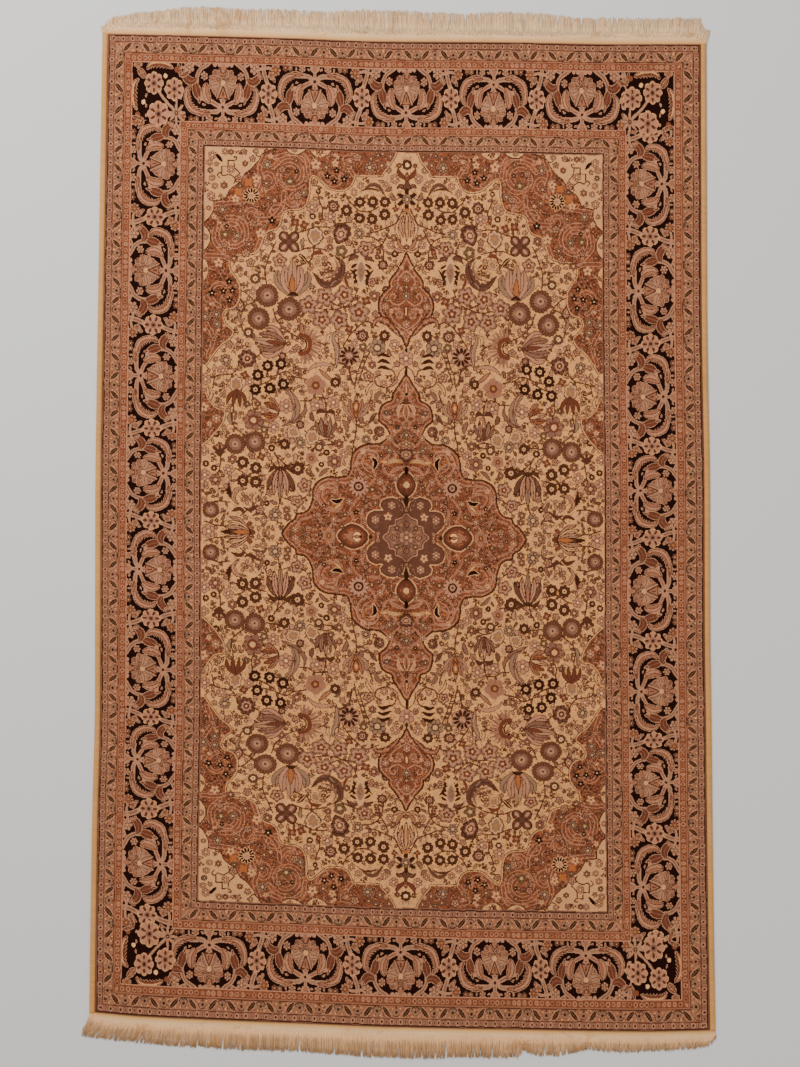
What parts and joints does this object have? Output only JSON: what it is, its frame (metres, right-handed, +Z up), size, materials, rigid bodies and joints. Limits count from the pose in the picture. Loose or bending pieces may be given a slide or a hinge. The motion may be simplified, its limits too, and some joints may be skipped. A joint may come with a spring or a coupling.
{
  "type": "persian rug",
  "caption": "Flat hand-knotted rug with a central medallion, floral borders, overcast sides and fringed flat-woven ends.",
  "frame": {"origin": "on the floor, under the middle of the rug's medallion", "axes": "+Z up out of the pile, +Y along the rug towards its head, +X across it"},
  "size_m": [1.5792, 2.6304, 0.008],
  "materials": {
    "wool_pile": "clipped wool pile, knotted in rust, brown, cream and near black",
    "wool_selvedge": "overcast cream wool",
    "cotton_warp": "undyed cotton, flat-woven and fringed"
  },
  "bodies": {
    "root": {"pile_carpet": "wool_pile", "selvedge_left": "wool_selvedge", "selvedge_right": "wool_selvedge", "fringed_end_head": "cotton_warp", "fringed_end_foot": "cotton_warp"}
  },
  "joints": []
}
